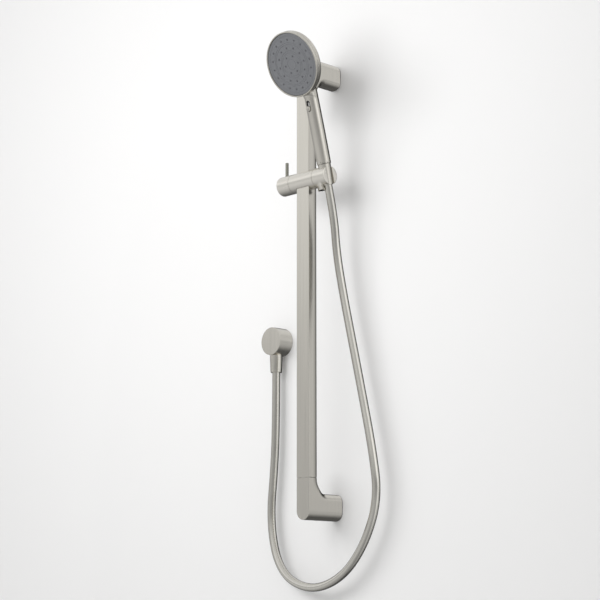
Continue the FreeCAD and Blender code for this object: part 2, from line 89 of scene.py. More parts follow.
SLIDER = frame_on(slider_point, ACROSS, (0, 1, 0))      # Z along the slider's axis
TAIL = frame_on(tail_point, tail_axis, ACROSS)          # Z up the handle, -Y forward
HEAD = frame_on(face_point, -face_normal, ACROSS)       # Z into the head, from the spray face
ELBOW = frame_on((elbow.x, 0, elbow.z), (0, -1, 0), ACROSS)
OUTLET = frame_on((outlet.x, outlet.y, 0), UP, ACROSS)


# ---------------------------------------------------------------- camera and stage
def look_from(azimuth, pitch, distance, target, lens):
    """Camera whose view turns azimuth to the left of the wall's square and pitch above level."""
    a, p = math.radians(azimuth), math.radians(pitch)
    ahead = Vector((-math.sin(a) * math.cos(p), math.cos(a) * math.cos(p), math.sin(p)))
    data = bpy.data.cameras.new("camera")
    data.sensor_width = 36
    data.lens = lens
    camera = bpy.data.objects.new("camera", data)
    camera.location = Vector(target) - ahead * distance
    camera.rotation_euler = ahead.to_track_quat("-Z", "Y").to_euler()
    bpy.context.scene.collection.objects.link(camera)
    bpy.context.scene.camera = camera


look_from(azimuth=46.17, pitch=10.71, distance=2.9037, target=(-0.0139, -0.073, 0.3547), lens=101.1)

FLOOR_Z = -1.0
ROOM = 5.0


def node(tree, kind, **values):
    """A shader node with its properties and unlinked inputs set."""
    made = tree.nodes.new(kind)
    for key, value in values.items():
        if hasattr(made, key):
            setattr(made, key, value)
        else:
            made.inputs[key.replace("_", " ")].default_value = value
    return made


def new_material(name):
    made = bpy.data.materials.new(name)
    made.use_nodes = True
    tree = made.node_tree
    tree.nodes.clear()
    return made, tree, node(tree, "ShaderNodeOutputMaterial")


def backdrop_look(name, colour):
    """Matt paint that lets light and sight through from behind, so the rear views stay open."""
    made, tree, out = new_material(name)
    paint = node(tree, "ShaderNodeBsdfDiffuse", Color=colour)
    clear = node(tree, "ShaderNodeBsdfTransparent")
    side = node(tree, "ShaderNodeNewGeometry")
    mix = node(tree, "ShaderNodeMixShader")
    tree.links.new(side.outputs["Backfacing"], mix.inputs["Fac"])
    tree.links.new(paint.outputs[0], mix.inputs[1])
    tree.links.new(clear.outputs[0], mix.inputs[2])
    tree.links.new(mix.outputs[0], out.inputs["Surface"])
    return made


def backdrop(name, corners, colour):
    mesh = bpy.data.meshes.new(name)
    mesh.from_pydata([Vector(c) for c in corners], [], [(0, 1, 2, 3)])
    mesh.materials.append(backdrop_look(name, colour))
    made = bpy.data.objects.new(name, mesh)
    bpy.context.scene.collection.objects.link(made)
    made.visible_glossy = False
    made.visible_shadow = False


backdrop("wall", ((-ROOM, 0, FLOOR_Z), (ROOM, 0, FLOOR_Z), (ROOM, 0, ROOM), (-ROOM, 0, ROOM)),
         (0.805, 0.802, 0.801, 1))
backdrop("floor", ((-ROOM, -ROOM, FLOOR_Z), (ROOM, -ROOM, FLOOR_Z), (ROOM, ROOM, FLOOR_Z), (-ROOM, ROOM, FLOOR_Z)),
         (0.8, 0.8, 0.79, 1))


def area_light(name, place, aim, size, power):
    data = bpy.data.lights.new(name, "AREA")
    data.shape = "DISK"
    data.size = size
    data.energy = power
    made = bpy.data.objects.new(name, data)
    made.location = place
    made.rotation_euler = (Vector(aim) - Vector(place)).to_track_quat("-Z", "Y").to_euler()
    made.visible_glossy = False
    bpy.context.scene.collection.objects.link(made)


area_light("key", (-1.1, -1.6, 1.2), (0.1, 0.0, 0.45), 1.0, 8)
area_light("fill", (-0.05, -1.25, 0.72), (-0.02, 0.0, 0.6), 0.95, 7.0)


def soft_room():
    """Soft studio light from all round: bright to the left and above, a tall bright panel on the
    right, darker towards the wall and below."""
    world = bpy.data.worlds.new("studio")
    bpy.context.scene.world = world
    world.use_nodes = True
    tree = world.node_tree
    tree.nodes.clear()
    links = tree.links
    out = node(tree, "ShaderNodeOutputWorld")
    shine = node(tree, "ShaderNodeBackground")
    links.new(shine.outputs[0], out.inputs["Surface"])
    ways = node(tree, "ShaderNodeTexCoord")
    split = node(tree, "ShaderNodeSeparateXYZ")
    links.new(ways.outputs["Generated"], split.inputs[0])

    def maths(operation, a, b=0.0):
        made = node(tree, "ShaderNodeMath", operation=operation)
        for socket, value in zip(made.inputs, (a, b)):
            if isinstance(value, (int, float)):
                socket.default_value = value
            else:
                links.new(value, socket)
        return made.outputs[0]

    def curve(value, stops):
        """Brightness against value, smooth between (value, brightness) stops."""
        low, high = stops[0][0], stops[-1][0]
        made = node(tree, "ShaderNodeValToRGB")
        ramp = made.color_ramp
        ramp.interpolation = "LINEAR"
        ramp.elements[0].position, ramp.elements[1].position = 0.0, 1.0
        for element, bright in ((ramp.elements[0], stops[0][1]), (ramp.elements[1], stops[-1][1])):
            element.color = (bright, bright, bright, 1)
        for place, bright in stops[1:-1]:
            ramp.elements.new((place - low) / (high - low)).color = (bright, bright, bright, 1)
        links.new(maths("DIVIDE", maths("SUBTRACT", value, low), high - low), made.inputs[0])
        return made.outputs["Color"]

    # compass angle: 0 is +X, 90 is into the wall, -90 square out of the wall
    compass = maths("MULTIPLY", maths("ARCTAN2", split.outputs[1], split.outputs[0]), 180 / math.pi)
    round_about = curve(compass, ((-180, 0.75), (-165, 1.15), (-150, 1.25), (-120, 1.25), (-95, 1.15), (-70, 0.9),
                                  (-45, 0.78), (-24, 0.85), (-12, 1.8), (16, 1.8), (26, 0.95), (50, 0.92),
                                  (60, 0.45), (72, 0.1), (86, 0.01), (143, 0.01), (160, 0.35), (180, 0.75)))
    height = maths("MULTIPLY", maths("ARCSINE", split.outputs[2]), 180 / math.pi)
    front = curve(height, ((-90, 0.2), (-45, 0.42), (-25, 0.6), (-9, 0.68), (0, 0.6), (5, 0.53), (9, 0.66), (13, 1.0),
                           (18, 1.06), (90, 1.1)))
    back = curve(height, ((-90, 0.25), (-40, 0.45), (-15, 0.65), (0, 0.78), (8, 1.05), (90, 1.15)))
    behind = curve(compass, ((-180, 0), (-15, 0), (20, 1), (180, 1)))
    level = maths("ADD", maths("MULTIPLY", back, behind), maths("MULTIPLY", front, maths("SUBTRACT", 1.0, behind)))
    overhead = curve(height, ((-90, 0), (25, 0), (38, 1.0), (46, 1.12), (60, 0.95), (90, 0.85)))
    underfoot = curve(height, ((-90, 0.12), (-30, 0.14), (-10, 0.14), (-3, 0), (90, 0)))
    away = maths("MAXIMUM", maths("SUBTRACT", 1.0, overhead), 0.0)
    sides = maths("MULTIPLY", maths("MULTIPLY", round_about, level), away)
    links.new(maths("ADD", maths("ADD", sides, overhead), underfoot), shine.inputs["Strength"])


soft_room()
scene = bpy.context.scene
scene.view_settings.view_transform = "Standard"


# ---------------------------------------------------------------- materials
def principled(tree, out, colour, metallic, roughness, **more):
    shader = node(tree, "ShaderNodeBsdfPrincipled", Base_Color=(*colour, 1), Metallic=metallic,
                  Roughness=roughness, **more)
    tree.links.new(shader.outputs[0], out.inputs["Surface"])
    return shader


def grain(tree, stretch, turn=(0, 0, 0), scale=1.0, detail=4.0):
    """Noise in the object's own space, stretched along an axis."""
    where = node(tree, "ShaderNodeTexCoord")
    mapping = node(tree, "ShaderNodeMapping", Scale=stretch, Rotation=turn)
    noise = node(tree, "ShaderNodeTexNoise", Scale=scale, Detail=detail)
    tree.links.new(where.outputs["Object"], mapping.inputs["Vector"])
    tree.links.new(mapping.outputs["Vector"], noise.inputs["Vector"])
    return noise.outputs["Fac"]


def spread(tree, value, low, high):
    made = node(tree, "ShaderNodeMapRange", To_Min=low, To_Max=high)
    made.inputs["From Min"].default_value = 0.3
    made.inputs["From Max"].default_value = 0.7
    tree.links.new(value, made.inputs["Value"])
    return made.outputs["Result"]


def tint(tree, value, first, second):
    ramp = node(tree, "ShaderNodeValToRGB")
    ramp.color_ramp.elements[0].position = 0.35
    ramp.color_ramp.elements[1].position = 0.65
    ramp.color_ramp.elements[0].color = (*first, 1)
    ramp.color_ramp.elements[1].color = (*second, 1)
    tree.links.new(value, ramp.inputs["Fac"])
    return ramp.outputs["Color"]


def bumped(tree, shader, value, depth):
    bump = node(tree, "ShaderNodeBump", Strength=1.0, Distance=depth)
    tree.links.new(value, bump.inputs["Height"])
    tree.links.new(bump.outputs["Normal"], shader.inputs["Normal"])


NICKEL = (0.62, 0.598, 0.545)


def brushed(name, colour, roughness, stretch, turn=(0, 0, 0), depth=0.000006):
    """Brushed metal: fine lines along one axis in roughness, tone and surface."""
    made, tree, out = new_material(name)
    shader = principled(tree, out, colour, 1.0, roughness)
    lines = grain(tree, stretch, turn, scale=260.0)
    cloud = grain(tree, (1, 1, 1), scale=35.0, detail=2.0)
    darker = tuple(c * 0.97 for c in colour)
    lighter = tuple(min(1.0, c * 1.02) for c in colour)
    tree.links.new(tint(tree, lines, darker, lighter), shader.inputs["Base Color"])
    both = node(tree, "ShaderNodeMath", operation="MULTIPLY_ADD")
    both.inputs[1].default_value = 0.25
    tree.links.new(cloud, both.inputs[0])
    tree.links.new(lines, both.inputs[2])
    tree.links.new(spread(tree, both.outputs[0], roughness * 0.88, roughness * 1.12), shader.inputs["Roughness"])
    bumped(tree, shader, lines, depth)
    return made


def plain(name, colour, roughness, metallic=0.0, scale=400.0, depth=0.00002, **more):
    """Moulded or machined surface with fine mottling."""
    made, tree, out = new_material(name)
    shader = principled(tree, out, colour, metallic, roughness, **more)
    speckle = grain(tree, (1, 1, 1), scale=scale)
    darker = tuple(c * 0.93 for c in colour)
    tree.links.new(tint(tree, speckle, darker, colour), shader.inputs["Base Color"])
    tree.links.new(spread(tree, speckle, roughness * 0.88, roughness * 1.12), shader.inputs["Roughness"])
    bumped(tree, shader, speckle, depth)
    return made


tilt_back = (-math.acos(tail_axis.z), 0, 0)
LOOKS = {
    "brushed_nickel": brushed("brushed_nickel", NICKEL, 0.20, (1, 1, 0.02)),
    "slider_nickel": brushed("slider_nickel", (0.76, 0.735, 0.676), 0.28, (0.05, 1, 1)),
    "lever_steel": brushed("lever_steel", (0.33, 0.33, 0.285), 0.22, (1, 1, 0.05)),
    "hose_nuts": brushed("hose_nuts", NICKEL, 0.20, (1, 1, 0.2)),
    "hose_metal": brushed("hose_metal", (0.60, 0.585, 0.54), 0.17, (1, 1, 0.2), depth=0.000003),
    "handset_nickel": brushed("handset_nickel", NICKEL, 0.20, (1, 1, 0.04), tilt_back),
    "spray_grey": plain("spray_grey", (0.143, 0.147, 0.156), 0.5, scale=900.0),
    "nozzle_silicone": plain("nozzle_silicone", (0.113, 0.116, 0.124), 0.55),
    "slot_black": plain("slot_black", (0.02, 0.02, 0.022), 0.4),
    "inner_plastic": plain("inner_plastic", (0.75, 0.75, 0.73), 0.45),
    "brass": plain("brass", (0.75, 0.56, 0.28), 0.32, metallic=1.0),
    "screw_steel": plain("screw_steel", (0.55, 0.55, 0.54), 0.3, metallic=1.0),
    "boss_zinc": plain("boss_zinc", (0.5, 0.5, 0.5), 0.42, metallic=1.0),
    "rubber": plain("rubber", (0.03, 0.03, 0.03), 0.7),
}
slot_of = {part["node"]: part["material_slot"] for part in frame["record"]["subparts"]}
for name, part in nodes.items():
    part.data.materials.clear()
    part.data.materials.append(LOOKS[slot_of[name]])


# ---------------------------------------------------------------- mesh helpers
SMOOTH_UNDER = math.radians(32)


def finish_piece(name, mesh, body, stands_for):
    """Turns a mesh in the row frame into a piece with its material, body and replaced nodes."""
    welded = bmesh.new()
    welded.from_mesh(mesh)
    bmesh.ops.remove_doubles(welded, verts=welded.verts, dist=1e-7)
    bmesh.ops.recalc_face_normals(welded, faces=welded.faces)
    welded.to_mesh(mesh)
    welded.free()
    slot = slot_of[stands_for[0]]
    mesh.materials.append(LOOKS[slot])
    mesh.shade_smooth()
    mesh.set_sharp_from_angle(angle=SMOOTH_UNDER)
    made = bpy.data.objects.new(name, mesh)
    bpy.context.scene.collection.objects.link(made)
    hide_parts(*stands_for)
    if body:
        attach(made, body)
    return made


def new_mesh(name, vertices, faces, place):
    mesh = bpy.data.meshes.new(name)
    mesh.from_pydata([place @ Vector(v) for v in vertices], [], faces)
    return mesh


def even_normals(made):
    """Keeps flat faces flat beside small rounded edges."""
    even = made.modifiers.new("even", "WEIGHTED_NORMAL")
    even.keep_sharp = True
    return made


def softened(profile, pieces=5):
    """Profile of (radius, height) or (radius, height, bevel) points, bevelled corners made round."""
    out = []
    for i, point in enumerate(profile):
        here = Vector(point[:2])
        if len(point) == 2:
            out.append(here)
            continue
        before = Vector(profile[i - 1][:2]) - here
        after = Vector(profile[(i + 1) % len(profile)][:2]) - here
        start = here + before.normalized() * point[2]
        end = here + after.normalized() * point[2]
        for k in range(pieces + 1):
            t = k / pieces
            out.append(start * (1 - t) ** 2 + here * 2 * t * (1 - t) + end * t * t)
    return out


def turned(profile, closed=False, steps=96):
    """Vertices and faces turned about local Z from a profile; a point at radius 0 is a pole."""
    vertices, rows = [], []
    for radius, height in softened(profile):
        if radius < 1e-6:
            rows.append([len(vertices)] * steps)
            vertices.append((0, 0, height))
            continue
        rows.append(list(range(len(vertices), len(vertices) + steps)))
        for k in range(steps):
            turn = 2 * math.pi * k / steps
            vertices.append((radius * math.cos(turn), radius * math.sin(turn), height))
    faces = []
    for low, high in list(zip(rows, rows[1:])) + ([(rows[-1], rows[0])] if closed else []):
        for k in range(steps):
            n = (k + 1) % steps
            corners = [low[k], low[n], high[n], high[k]]
            faces.append(list(dict.fromkeys(corners)))
    return vertices, faces


def turned_piece(name, profile, place, body, stands_for, closed=False, steps=96):
    vertices, faces = turned(profile, closed, steps)
    made = finish_piece(name, new_mesh(name, vertices, faces, place), body, stands_for)
    return even_normals(made)


# ---------------------------------------------------------------- pieces shaped by distance fields
def box_grid(low, high, step):
    count = [int(math.ceil((b - a) / step)) + 1 for a, b in zip(low, high)]
    return [a + step * np.arange(n) for a, n in zip(low, count)]


def surface_of(field, low, high, step, rounds=4):
    """Vertices and quads on the zero surface of field(x, y, z), negative inside, within a box.

    One vertex per grid cell that the surface crosses, slid onto the surface along the field's slope."""
    axes = box_grid(low, high, step)
    x, y, z = np.meshgrid(*axes, indexing="ij", sparse=True)
    inside = np.broadcast_to(field(x, y, z) < 0, [len(a) for a in axes])
    n = [len(a) - 1 for a in axes]
    filled = np.zeros(n, np.int8)
    for i in (0, 1):
        for j in (0, 1):
            for k in (0, 1):
                filled += inside[i:i + n[0], j:j + n[1], k:k + n[2]]
    crossed = (filled > 0) & (filled < 8)
    index = np.full(n, -1)
    index[crossed] = np.arange(crossed.sum())
    points = np.array(low) + (np.argwhere(crossed) + 0.5) * step
    quads = []
    for axis in range(3):
        first = np.take(inside, range(n[axis]), axis)
        second = np.take(inside, range(1, n[axis] + 1), axis)
        u, v = [a for a in range(3) if a != axis]
        for flip, change in ((False, first & ~second), (True, ~first & second)):
            at = np.argwhere(change)
            at = at[(at[:, u] > 0) & (at[:, v] > 0) & (at[:, u] < n[u]) & (at[:, v] < n[v])]
            ring = []
            for du, dv in ((0, 0), (1, 0), (1, 1), (0, 1)):
                cell = at.copy()
                cell[:, u] -= du
                cell[:, v] -= dv
                ring.append(index[cell[:, 0], cell[:, 1], cell[:, 2]])
            quads.append(np.stack(ring[::-1] if flip != (axis == 1) else ring, axis=1))
    quads = np.concatenate(quads)

    def slid(p):
        h = step * 0.05
        here = field(p[:, 0], p[:, 1], p[:, 2])
        slope = np.stack([(field(*(p + h * e).T) - field(*(p - h * e).T)) / (2 * h) for e in np.eye(3)], axis=1)
        move = slope * (here / np.maximum((slope ** 2).sum(1), 0.05))[:, None]
        length = np.linalg.norm(move, axis=1)[:, None]
        return p - move * np.minimum(1, step / np.maximum(length, 1e-9))

    edges = np.concatenate([quads[:, [k, (k + 1) % 4]] for k in range(4)])
    degree = np.bincount(edges.ravel(), minlength=len(points))[:, None]
    for turn in range(rounds):
        points = slid(slid(points))
        if turn < rounds - 1:
            total = np.zeros_like(points)
            np.add.at(total, edges[:, 0], points[edges[:, 1]])
            np.add.at(total, edges[:, 1], points[edges[:, 0]])
            points = points + 0.5 * (total / degree - points)
    return points, quads


def field_piece(name, field, low, high, step, place, body, stands_for):
    points, quads = surface_of(field, low, high, step)
    at = np.array(place)
    local = points
    points = points @ at[:3, :3].T + at[:3, 3]
    mesh = bpy.data.meshes.new(name)
    mesh.from_pydata(points.tolist(), [], quads.tolist())
    made = finish_piece(name, mesh, body, stands_for)
    h = step * 0.1
    slope = np.stack([field(*(local + h * e).T) - field(*(local - h * e).T) for e in np.eye(3)], axis=1)
    slope = slope @ at[:3, :3].T
    slope /= np.linalg.norm(slope, axis=1)[:, None] + 1e-12
    mesh.normals_split_custom_set_from_vertices(slope.tolist())
    return made


def joined(a, b, r):
    """Union with a soft hollow about r wide where the two meet."""
    h = np.maximum(r - abs(a - b), 0) / r
    return np.minimum(a, b) - h * h * r / 4


def trimmed(a, b, r=0.6):
    """Intersection with its edge rounded by about r."""
    h = np.maximum(r - abs(a - b), 0) / r
    return np.maximum(a, b) + h * h * r / 4


def slot_field(x, z, low, high, r):
    """Distance to a slot shape along z, with half-round ends at low and high."""
    return np.hypot(x, z - np.clip(z, low + r, high - r)) - r


# Rail section: crisp front corners; the sides curve in gently towards the back.
RAIL_FRONT_EDGE = (0.7, 0.7)
RAIL_BACK_EDGE = (2.0, 12.0)
ARM_TOP_EDGE = 12.0
rail_low, rail_high = (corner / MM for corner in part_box("rail_tube"))
RAIL_HALF_W = (rail_high.x - rail_low.x) / 2
RAIL_HALF_D = (rail_high.y - rail_low.y) / 2
RAIL_MID_Y = (rail_high.y + rail_low.y) / 2


def edged(qx, qy, across, deep):
    """Two faces meeting in an elliptical edge; qx and qy are the distances outside each face."""
    dx, dy = np.maximum(qx + across, 1e-9), np.maximum(qy + deep, 1e-9)
    near = np.hypot(dx / across, dy / deep)
    corner = near * (near - 1) / np.hypot(dx / across ** 2, dy / deep ** 2)
    return np.where((qx + across > 0) & (qy + deep > 0), corner, np.maximum(qx, qy))


def rail_field(x, y):
    front = edged(abs(x) - RAIL_HALF_W, -y - RAIL_HALF_D, *RAIL_FRONT_EDGE)
    back = edged(abs(x) - RAIL_HALF_W, y - RAIL_HALF_D, *RAIL_BACK_EDGE)
    return np.where(y > 0, back, front)


ARM_HEIGHT, ARM_FILLET, GASKET = 45.0, 24.0, 1.0
JOINT_BEVEL = 0.25
SEAM_DROP = 4.2                     # the joint lines sit this much nearer the ends than the tube's ends


def bracket_field(x, y, z):
    """Arm from the wall turning up into the neck that carries the rail.  Origin on the wall.

    The rail's curved-in back edge runs on round the hollow corner and along the top of the arm."""
    out, above = y - RAIL_MID_Y - RAIL_HALF_D, z - ARM_HEIGHT / 2
    hollow = np.hypot(np.maximum(ARM_FILLET - out, 0), np.maximum(ARM_FILLET - above, 0))
    inner = np.maximum(ARM_FILLET, np.minimum(out, above)) - hollow
    share = np.clip((out - 4) / 20, 0, 1)
    across = RAIL_BACK_EDGE[0] + share * share * (3 - 2 * share) * (ARM_TOP_EDGE - RAIL_BACK_EDGE[0])
    both = edged(abs(x) - RAIL_HALF_W, inner, across, RAIL_BACK_EDGE[1])
    both = np.maximum(both, slot_field(x, z, -ARM_HEIGHT / 2, 200, RAIL_HALF_W))
    both = trimmed(both, RAIL_MID_Y - RAIL_HALF_D - y, 1.0)
    both = trimmed(both, y + GASKET, 0.4)
    return trimmed(both, z - rail_low.z + SEAM_DROP + 0.5, 0.4)


BRACKET_BOX = ((-17, -82, -25), (17, 1, rail_low.z + 1))
LOWER = Matrix.Scale(MM, 4)
UPPER = Matrix.Translation((0, 0, rail_low.z * MM + rail_high.z * MM)) @ Matrix.Diagonal((MM, MM, -MM, 1))
for end, place in (("lower", LOWER), ("upper", UPPER)):
    field_piece(end + "_arm", bracket_field, *BRACKET_BOX, 0.6, place, "wall_set", [end + "_bracket"])


def rail_profile():
    """Outline of the rail's section, round the corners."""
    outline = []
    for sx, sy, edge in ((1, -1, RAIL_FRONT_EDGE), (1, 1, RAIL_BACK_EDGE), (-1, 1, RAIL_BACK_EDGE),
                         (-1, -1, RAIL_FRONT_EDGE)):
        start = math.atan2(sy, sx) - math.pi / 4
        for k in range(13):
            turn = start + math.pi / 2 * k / 12
            outline.append((sx * (RAIL_HALF_W - edge[0]) + edge[0] * math.cos(turn),
                            RAIL_MID_Y + sy * (RAIL_HALF_D - edge[1]) + edge[1] * math.sin(turn)))
    return outline


def rail():
    """Tube with its ends very slightly bevelled, so that a fine line shows at each joint."""
    outline = rail_profile()
    vertices, faces = [], []
    bevel = JOINT_BEVEL
    low, high = rail_low.z - SEAM_DROP, rail_high.z + SEAM_DROP
    levels = ((low, bevel), (low + bevel, 0), (high - bevel, 0), (high, bevel))
    for z, inset in levels:
        for x, y in outline:
            share = 1 - inset / math.hypot(x, y - RAIL_MID_Y)
            vertices.append((x * share, RAIL_MID_Y + (y - RAIL_MID_Y) * share, z))
    n = len(outline)
    for row in range(len(levels) - 1):
        for k in range(n):
            m = (k + 1) % n
            faces.append((row * n + k, row * n + m, (row + 1) * n + m, (row + 1) * n + k))
    faces.append(tuple(reversed(range(n))))
    faces.append(tuple(range((len(levels) - 1) * n, len(levels) * n)))
    mesh = new_mesh("rail", vertices, faces, LOWER)
    made = finish_piece("rail", mesh, "wall_set", ["rail_tube"])
    made.visible_shadow = False
    return even_normals(made)


rail()


# ---------------------------------------------------------------- slider, knob and holder
SLIDER_R = 17.0
SEAM = 0.35
KNOB_END, KNOB_SEAM, HOLDER_SEAM, HOLDER_END = -60.0, -30.6, 28.0, 58.0
LEVER_R, LEVER_X, LEVER_TIP = 2.88, -50.0, 42.0
NUT_TOP, NUT_BOTTOM = 20.2, -16.0
NUT_TOP_R, NUT_BOTTOM_R = 11.2, 8.9
SLOT_HALF = 7.5
COLLAR_HALF_W, COLLAR_HALF_D, COLLAR_FOOT = 22.0, 14.0, -23.5
CONE_GAP = 0.35
lean = math.atan2(-tail_axis.y, tail_axis.z)
tail_x = (tail_point.x - slider_point.x) / MM
WORLD_AT_SLIDER = Matrix.Translation(slider_point) @ Matrix.Scale(MM, 4)


def slider_field(x, y, z):
    body = np.hypot(y, z) - SLIDER_R
    body = trimmed(body, x - HOLDER_SEAM, 0.7)
    body = trimmed(body, KNOB_SEAM + SEAM - x, 0.7)
    return trimmed(body, -(rail_field(x, y) - 0.5), 0.5)


field_piece("slider_barrel", slider_field, (-31.5, -18, -18), (29, 18, 18), 0.6, WORLD_AT_SLIDER, "slider",
            ["slider_body"])


def holder_field(x, y, z):
    """Barrel end with a collar below it, opened by the cone's seat and by a slot to the right."""
    left = HOLDER_SEAM + SEAM
    up = -y * math.sin(lean) + z * math.cos(lean)
    ahead = y * math.cos(lean) + z * math.sin(lean)
    barrel = trimmed(np.hypot(y, z) - SLIDER_R, x - HOLDER_END, 1.6)
    barrel = trimmed(barrel, left - x, 0.7)
    collar = (np.hypot((x - tail_x) / COLLAR_HALF_W, ahead / COLLAR_HALF_D) - 1) * COLLAR_HALF_D
    collar = trimmed(collar, COLLAR_FOOT - up, 0.8)
    collar = np.maximum(np.maximum(collar, up), np.maximum(left + 0.4 - x, x - tail_x + 3))
    body = joined(barrel, collar, 2.0)
    share = (up - NUT_BOTTOM) / (NUT_TOP - NUT_BOTTOM)
    seat = NUT_BOTTOM_R + share * (NUT_TOP_R - NUT_BOTTOM_R) + CONE_GAP
    bore = np.hypot(x - tail_x, ahead) - seat
    mouth = np.maximum(abs(ahead) - SLOT_HALF, tail_x - x)
    return trimmed(body, -np.minimum(bore, mouth), 0.8)


field_piece("holder", holder_field, (27, -19, -25), (59, 24, 19), 0.5, WORLD_AT_SLIDER, "holder",
            ["handset_holder"])

turned_piece("knob", [(0, KNOB_END), (SLIDER_R, KNOB_END, 1.6), (SLIDER_R, KNOB_SEAM, 0.4), (9, KNOB_SEAM),
                      (9, -24.4), (0, -24.4)], SLIDER, "knob", ["lock_knob"])
LEVER = frame_on(slider_point + ACROSS * (LEVER_X * MM), UP, ACROSS)
turned_piece("lever", [(0, 5.2), (LEVER_R, 5.2), (LEVER_R, LEVER_TIP, 0.7), (0, LEVER_TIP)], LEVER, "knob",
             ["lever_pin"], steps=40)

# ---------------------------------------------------------------- cone nut and handset
turned_piece("cone_nut", [(7.3, NUT_BOTTOM), (NUT_BOTTOM_R, NUT_BOTTOM, 0.5), (NUT_TOP_R, NUT_TOP - 0.2, 0.3),
                          (10.6, NUT_TOP + 0.1), (10.6, NUT_TOP + 13), (7.3, NUT_TOP + 13)],
             TAIL, "hose_end", ["hose_nut_upper"], closed=True)

HEAD_R, FACE_R = 57.0, 54.0
HANDLE_START = NUT_TOP + 0.2
to_head = HEAD.inverted() @ TAIL
HEAD_TURN = np.array(to_head)[:3, :3]
HEAD_MOVE = np.array(to_head)[:3, 3]
BACK_OF_HEAD = ((0, 22.8), (13, 22.4), (26, 21.0), (38, 18.4), (48, 15.2), (53.8, 13.3), (56, 12.2), (57, 10.5))
HANDLE_RADII = ((20, 12.1), (24.8, 12.4), (70, 12.55), (100, 12.4), (148, 12.0), (260, 12.0))
# height, half width, half depth and forward shift of the handle's flattened upper end
HANDLE_TOP = ((120, 12.2, 12.2, 0.0), (148, 12.0, 12.0, 0.0), (166, 12.2, 10.6, 1.4), (184, 12.0, 7.4, 6.0),
              (198, 10.4, 4.0, 12.4), (206, 8.4, 2.4, 17.0), (230, 6.0, 2.0, 28.0))
SELECTOR_AT, SELECTOR_TRAVEL = 117.9, 9.0
SLOT_R, SLOT_END, SLOT_FLOOR = 4.0, 5.2, -6.5       # the selector's slot, cut to behind the plate
RIM_SEAT, POCKET_DEPTH, POCKET_GAP = 4.6, 9.0, 0.5  # where the rim sits, and the pocket for the face
SKIRT_R, SKIRT_HIGH = 11.3, 14.0                    # bore in the handle's foot for the cone nut


def smooth_table(table, column):
    """Smooth curve through a table's column against its first one."""
    heights = [row[0] for row in table]
    fine = np.linspace(heights[0], heights[-1], 400)
    values = np.interp(fine, heights, [row[column] for row in table])
    window = np.hanning(31)
    window /= window.sum()
    padded = np.pad(values, 15, mode="edge")
    return fine, np.convolve(padded, window, mode="valid")


HANDLE_WIDE, HANDLE_DEEP, HANDLE_FORWARD = (smooth_table(HANDLE_TOP, k) for k in (1, 2, 3))
DOME = smooth_table(BACK_OF_HEAD, 1)


def handset_field(x, y, z):
    """Handle tube that flattens and leans forward into the domed back of the head."""
    wide = np.where(z < 120, np.interp(z, *zip(*HANDLE_RADII)), np.interp(z, *HANDLE_WIDE))
    deep = np.where(z < 120, np.interp(z, *zip(*HANDLE_RADII)), np.interp(z, *HANDLE_DEEP))
    forward = np.where(z < 120, 0, np.interp(z, *HANDLE_FORWARD))
    u, v = x / wide, (y + forward) / deep
    near = np.sqrt(u * u + v * v) + 1e-6
    slope = np.sqrt((u / wide) ** 2 + (v / deep) ** 2) + 1e-6
    handle = near * (near - 1) / slope
    handle = trimmed(handle, HANDLE_START - z, 0.8)
    handle = np.maximum(handle, z - 214)
    hx = HEAD_TURN[0, 0] * x + HEAD_TURN[0, 1] * y + HEAD_TURN[0, 2] * z + HEAD_MOVE[0]
    hy = HEAD_TURN[1, 0] * x + HEAD_TURN[1, 1] * y + HEAD_TURN[1, 2] * z + HEAD_MOVE[1]
    depth = HEAD_TURN[2, 0] * x + HEAD_TURN[2, 1] * y + HEAD_TURN[2, 2] * z + HEAD_MOVE[2]
    r = np.hypot(hx, hy)
    dome = (depth - np.interp(r, *DOME)) * 0.93
    head = trimmed(dome, r - HEAD_R, 1.5)
    hollow = 1.5 + 10.5 * np.clip((depth - 9) / 8, 0, 1)
    body = joined(head, handle, hollow)
    body = np.maximum(body, -np.maximum(depth - RIM_SEAT, r - HEAD_R - 9))
    pocket = np.maximum(r - FACE_R - POCKET_GAP, depth - POCKET_DEPTH)
    body = np.maximum(body, -pocket)
    skirt = np.maximum(np.hypot(x, y) - SKIRT_R, z - NUT_TOP - SKIRT_HIGH)
    body = np.maximum(body, -skirt)
    opening = slot_field(x, z, SELECTOR_AT - SLOT_END, SELECTOR_AT + SELECTOR_TRAVEL + SLOT_END, SLOT_R)
    slot = np.maximum(opening, y - SLOT_FLOOR)
    return trimmed(body, -slot, 0.7)


field_piece("handset", handset_field, (-58.5, -46, 18.3), (58.5, 14, 256), 0.9, TAIL, "handset",
            ["handset_shell"])

turned_piece("trim_ring", [(FACE_R + 0.3, 4.4), (FACE_R + 0.3, 0.3), (FACE_R + 0.9, -0.6, 0.6), (HEAD_R, -0.6, 1.6),
                           (HEAD_R, 4.4, 0.25)], HEAD, "handset", ["head_trim_ring"], closed=True, steps=160)

NOZZLE_RINGS = ((15.0, 6), (29.0, 12), (43.0, 18))


def nozzle_places():
    for radius, count in NOZZLE_RINGS:
        for k in range(count):
            turn = 2 * math.pi * k / count
            yield radius * math.cos(turn), radius * math.sin(turn)


def face_profile():
    """Fine steps between the rings of nozzles, then the rolled edge."""
    points = [(0, 0.9)]
    for ring in (9.0, 20.5, 23.5, 34.5, 37.5, 49.0):
        points += [(ring - 0.45, 0.9, 0.15), (ring - 0.15, 1.25), (ring + 0.15, 1.25), (ring + 0.45, 0.9, 0.15)]
    return points + [(FACE_R, 0.9, 0.5), (FACE_R, 3.3), (0, 3.3)]


turned_piece("spray_plate", face_profile(), HEAD, "handset", ["spray_face"], steps=128)


